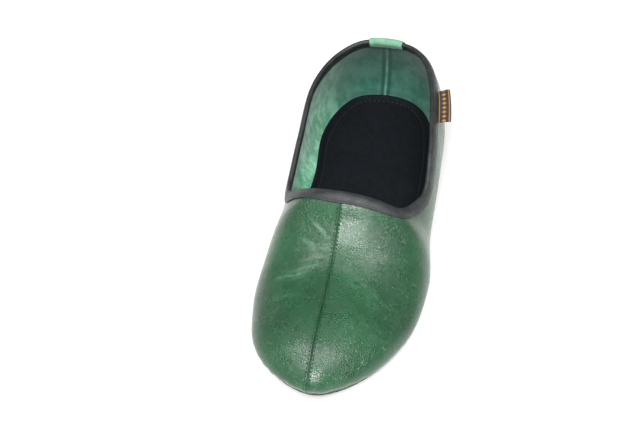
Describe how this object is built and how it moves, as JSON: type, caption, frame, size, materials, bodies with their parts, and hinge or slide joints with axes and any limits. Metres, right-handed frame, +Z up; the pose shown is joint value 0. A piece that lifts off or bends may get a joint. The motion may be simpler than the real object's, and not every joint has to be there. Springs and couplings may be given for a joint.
{
  "type": "babouche slipper",
  "caption": "Soft leather slipper for the left foot, with a closed heel, a bound collar, a thin sole and a foot bed.",
  "frame": {"origin": "on the floor, under the middle of the shoe's length, on the flat forefoot of the sole", "axes": "+Z up, the toe towards -Y and the heel towards +Y, the outer side of the left foot towards +X"},
  "size_m": [0.1004, 0.2698, 0.0655],
  "materials": {
    "upper_leather": "glossy pebbled green leather",
    "binding_leather": "smooth black leather with a soft sheen",
    "tab_suede": "matt light green suede",
    "label_fabric": "woven black tape",
    "insole_suede": "matt near-black suede",
    "rand_leather": "satin green leather",
    "sole_leather": "matt dark leather"
  },
  "bodies": {
    "root": {"upper": "upper_leather", "collar_binding": "binding_leather", "heel_tab": "tab_suede", "side_label": "label_fabric", "insole": "insole_suede", "rand": "rand_leather", "outsole": "sole_leather"}
  },
  "joints": []
}
